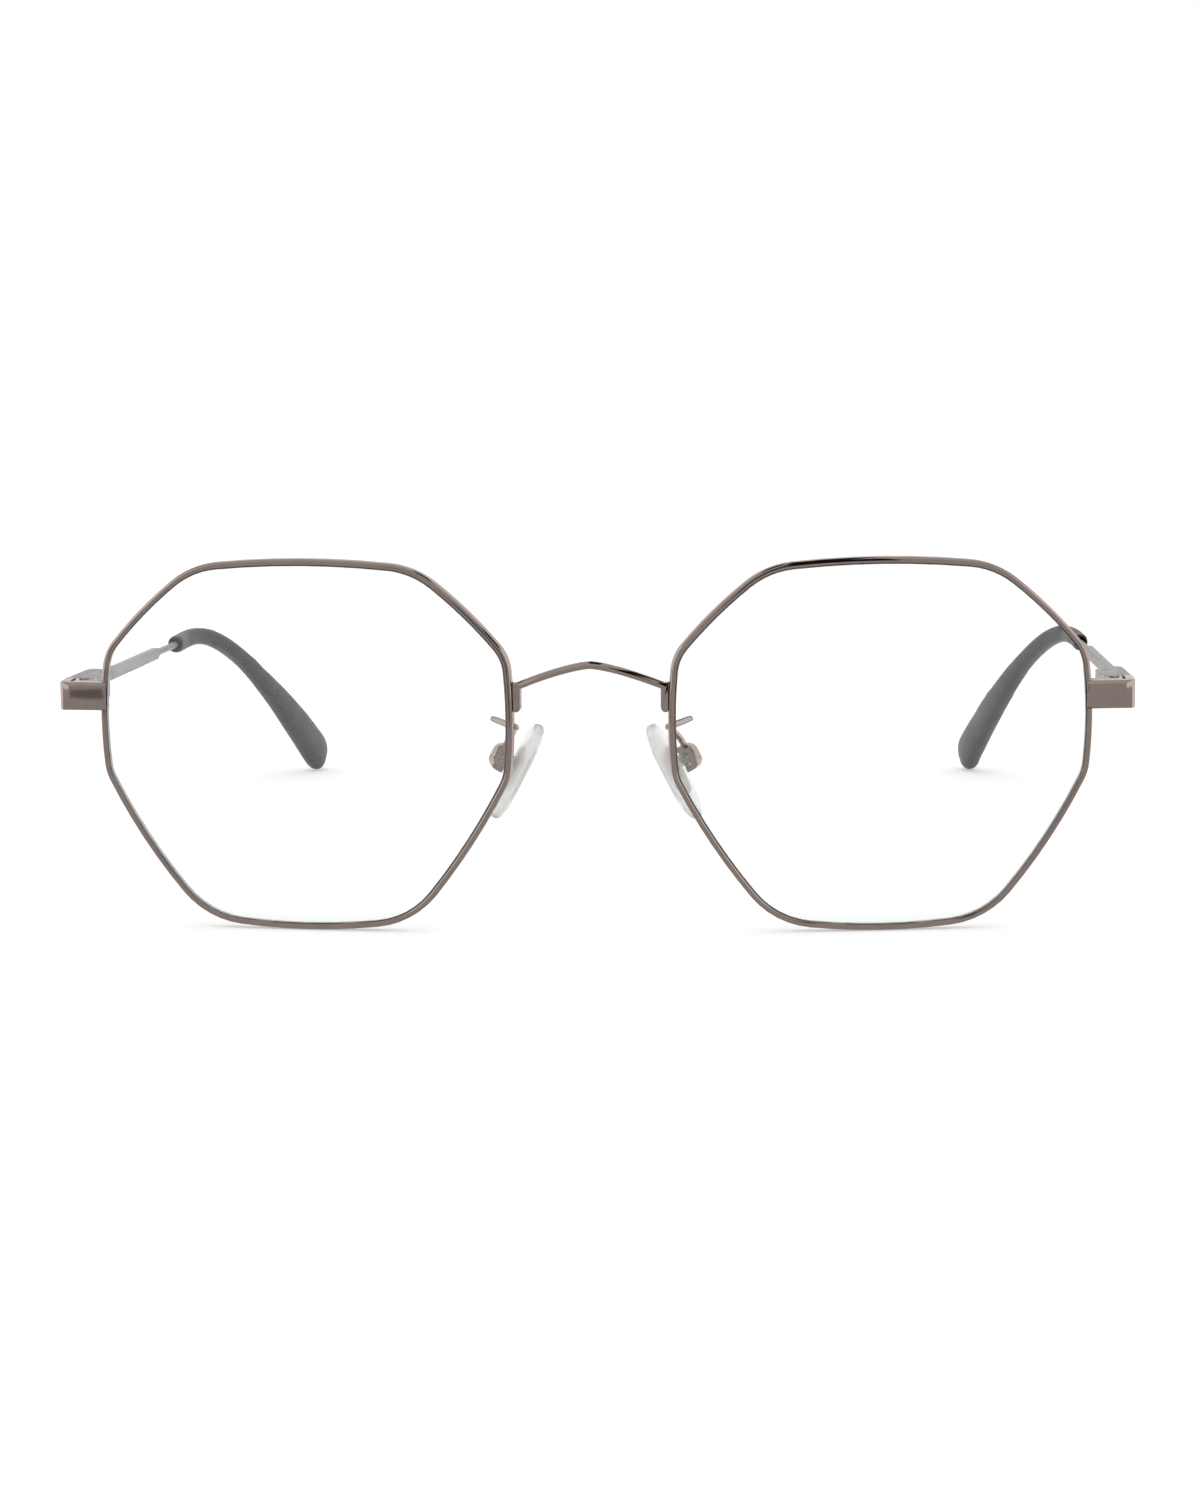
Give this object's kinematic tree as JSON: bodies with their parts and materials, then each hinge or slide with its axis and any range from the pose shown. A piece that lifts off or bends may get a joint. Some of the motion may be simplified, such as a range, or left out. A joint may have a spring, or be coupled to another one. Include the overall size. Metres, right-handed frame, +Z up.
{
  "type": "octagonal wire rimmed eyeglasses",
  "caption": "Metal wire rimmed eyeglasses with eight sided lenses, an arched bridge, rocking nose pads on wire arms and folding temples with curved plastic tips.",
  "frame": {"origin": "on the table, under the middle of the object's box, where the rims and the temple tips rest", "axes": "+X to the right seen from the front, +Y back along the open temples, +Z up"},
  "size_m": [0.134, 0.1456, 0.046],
  "materials": {
    "rim_metal": "polished",
    "temple_metal": "satin",
    "screw_metal": "polished",
    "sleeve_plastic": "gloss",
    "lens": "gloss",
    "pad_silicone": "satin"
  },
  "bodies": {
    "front": {"bridge": "rim_metal", "rim_left": "rim_metal", "lens_left": "lens", "endpiece_left": "rim_metal", "lock_upper_left": "rim_metal", "lock_lower_left": "rim_metal", "lock_screw_left": "screw_metal", "hinge_front_left": "rim_metal", "hinge_screw_left": "screw_metal", "pad_arm_left": "rim_metal", "pad_box_left": "rim_metal", "pad_screw_left": "screw_metal", "rim_right": "rim_metal", "lens_right": "lens", "endpiece_right": "rim_metal", "lock_upper_right": "rim_metal", "lock_lower_right": "rim_metal", "lock_screw_right": "screw_metal", "hinge_front_right": "rim_metal", "hinge_screw_right": "screw_metal", "pad_arm_right": "rim_metal", "pad_box_right": "rim_metal", "pad_screw_right": "screw_metal"},
    "temple_left": {"hinge_leaf_left": "temple_metal", "temple_left": "temple_metal", "temple_tip_left": "sleeve_plastic"},
    "temple_right": {"hinge_leaf_right": "temple_metal", "temple_right": "temple_metal", "temple_tip_right": "sleeve_plastic"},
    "pad_left": {"nose_pad_left": "pad_silicone"},
    "pad_right": {"nose_pad_right": "pad_silicone"}
  },
  "joints": [
    {"name": "temple_left_fold", "type": "hinge", "parent": "front", "child": "temple_left", "pos_m": [-0.06382, -0.05963, 0.02866], "axis": [0, 0, -1], "range_deg": [0, 76]},
    {"name": "temple_right_fold", "type": "hinge", "parent": "front", "child": "temple_right", "pos_m": [0.06382, -0.05963, 0.02866], "axis": [0, 0, 1], "range_deg": [0, 86]},
    {"name": "pad_left_rock", "type": "hinge", "parent": "front", "child": "pad_left", "pos_m": [-0.0113, -0.06229, 0.02051], "axis": [-0.225, 0.9744, 0], "range_deg": [-8, 8]},
    {"name": "pad_right_rock", "type": "hinge", "parent": "front", "child": "pad_right", "pos_m": [0.0113, -0.06229, 0.02051], "axis": [0.225, 0.9744, 0], "range_deg": [-8, 8]}
  ]
}
